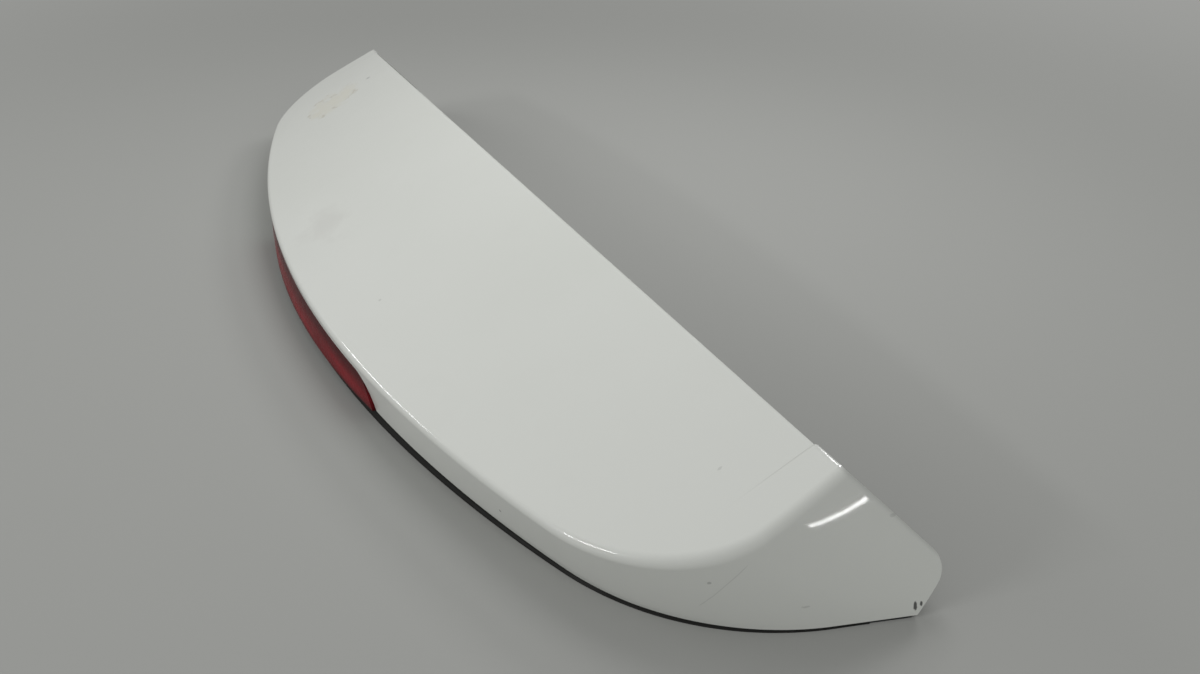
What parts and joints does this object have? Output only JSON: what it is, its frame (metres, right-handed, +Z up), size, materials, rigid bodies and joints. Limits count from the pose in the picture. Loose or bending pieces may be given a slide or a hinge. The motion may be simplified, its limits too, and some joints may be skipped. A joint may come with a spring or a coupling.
{
  "type": "car rear spoiler",
  "caption": "White painted roof spoiler with a crowned sloping top, rounded side wings, a red stop-lamp lens in its trailing edge and a black inner panel with mounting studs.",
  "frame": {"origin": "middle of the bounding box, on the floor that the rim stands on", "axes": "+X along the span, +Y towards the leading edge, +Z up out of the top panel"},
  "size_m": [1.1936, 0.3188, 0.1469],
  "materials": {
    "white_paint": "white clear-coated paint on moulded plastic",
    "black_plastic": "fine-grained black moulding",
    "red_lens": "polished dark red acrylic",
    "lamp_plastic": "smooth black moulding",
    "silvered_plastic": "vacuum-metallised plastic",
    "circuit_board": "green solder mask",
    "led_plastic": "moulded light emitter body",
    "terminal_brass": "tinned flat pins",
    "foam_rubber": "closed-cell foam",
    "seal_rubber": "extruded rubber strip",
    "plated_steel": "zinc-plated",
    "clip_plastic": "natural nylon"
  },
  "bodies": {
    "root": {"outer_skin": "white_paint", "inner_panel": "black_plastic", "lamp_lens": "red_lens", "lamp_housing": "lamp_plastic", "lamp_reflector": "silvered_plastic", "led_board": "circuit_board", "led_emitters": "led_plastic", "lamp_terminals": "terminal_brass", "lamp_gasket": "foam_rubber", "lamp_screw_left": "plated_steel", "lamp_screw_right": "plated_steel", "leading_edge_seal": "seal_rubber", "wing_pad_left": "foam_rubber", "wing_pad_right": "foam_rubber", "stud_rear_left": "plated_steel", "stud_rear_right": "plated_steel", "stud_front_left": "plated_steel", "stud_front_right": "plated_steel", "stud_washer_rear_left": "foam_rubber", "stud_washer_rear_right": "foam_rubber", "stud_washer_front_left": "foam_rubber", "stud_washer_front_right": "foam_rubber", "clip_left": "clip_plastic", "clip_right": "clip_plastic"}
  },
  "joints": []
}
